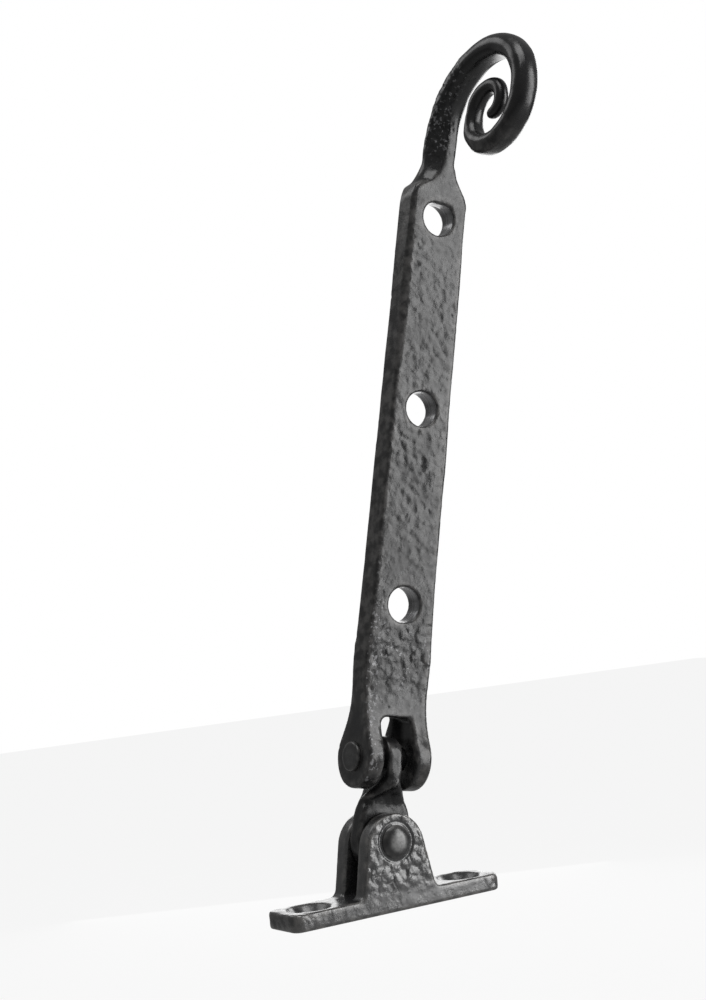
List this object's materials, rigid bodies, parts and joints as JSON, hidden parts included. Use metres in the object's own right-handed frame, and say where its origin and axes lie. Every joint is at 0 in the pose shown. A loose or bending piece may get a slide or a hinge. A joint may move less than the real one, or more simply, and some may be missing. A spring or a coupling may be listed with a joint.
{
  "type": "casement window stay",
  "caption": "Cast black window stay: a plate bracket, a twisted swivel link on crossed rivets, and a flat arm with peg holes that ends in a scroll.",
  "frame": {"origin": "centre of the bracket plate's back face, below the bracket rivet", "axes": "+Z out of the plate towards the arm, X along the plate, -Y towards the side that the scroll curls to"},
  "size_m": [0.0647, 0.055, 0.1964],
  "materials": {
    "bracket_iron": "black lacquer, satin, over a lumpy casting",
    "link_iron": "black lacquer, satin, over a smooth casting",
    "arm_iron": "black lacquer, satin, over a pitted casting",
    "bracket_rivet_steel": "black lacquer, satin, over a smooth domed rivet",
    "arm_rivet_steel": "black lacquer, satin, over a smooth flat rivet"
  },
  "bodies": {
    "arm": {"stay_arm": "arm_iron", "arm_rivet": "arm_rivet_steel"},
    "link": {"swivel_link": "link_iron"},
    "bracket": {"bracket": "bracket_iron", "bracket_rivet": "bracket_rivet_steel"}
  },
  "joints": [
    {"name": "link_on_arm_rivet", "type": "hinge", "parent": "arm", "child": "link", "pos_m": [0.00337, 0, 0.03359], "axis": [0.9833, 0, -0.1822], "range_deg": [-95.5, 104.5]},
    {"name": "bracket_on_link_rivet", "type": "hinge", "parent": "link", "child": "bracket", "pos_m": [0, 0, 0.0154], "axis": [0, 1, 0], "range_deg": [-79.5, 100.5]}
  ]
}
